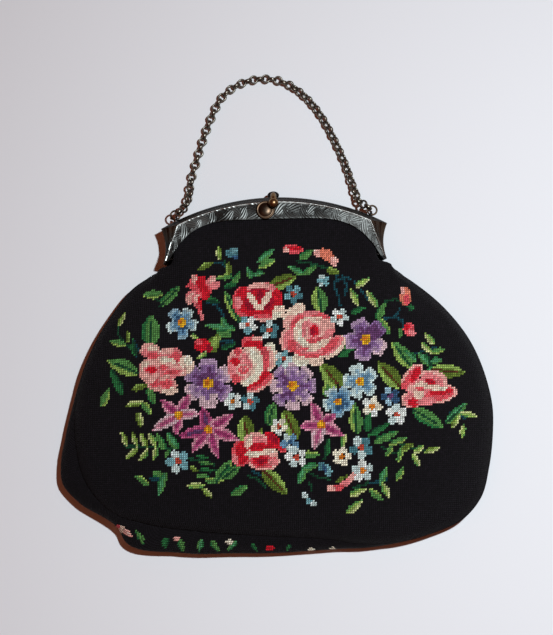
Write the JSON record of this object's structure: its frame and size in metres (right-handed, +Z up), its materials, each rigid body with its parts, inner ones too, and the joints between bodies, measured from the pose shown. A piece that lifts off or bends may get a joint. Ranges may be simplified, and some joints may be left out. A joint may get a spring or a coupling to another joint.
{
  "type": "frame purse",
  "caption": "Soft needlework purse sewn to an arched, hinged metal frame with a ball clasp and a link chain handle, lying on its back.",
  "frame": {"origin": "bottom centre of the bounding box: the middle of the surface that the purse lies on", "axes": "+X across the purse to the right, +Y from the bottom of the bag to the chain handle, +Z up through the front panel"},
  "size_m": [0.2024, 0.2302, 0.027],
  "materials": {
    "needlework": "wool tent stitch on canvas, near-black ground with a many-coloured bouquet",
    "old_silver": "engraved, dark patina in the hollows, brown tarnish at the ends",
    "worn_brass": "plating worn through to brass",
    "chain_metal": "tarnished, warm grey"
  },
  "bodies": {
    "root": {"front_panel": "needlework", "back_panel": "needlework", "front_frame": "old_silver", "back_frame": "old_silver", "hinge_pin_left": "old_silver", "hinge_pin_right": "old_silver", "clasp_ball": "worn_brass", "clasp_knob": "old_silver", "clasp_boss": "worn_brass", "jump_ring_left": "worn_brass", "jump_ring_right": "worn_brass", "chain": "chain_metal"}
  },
  "joints": []
}
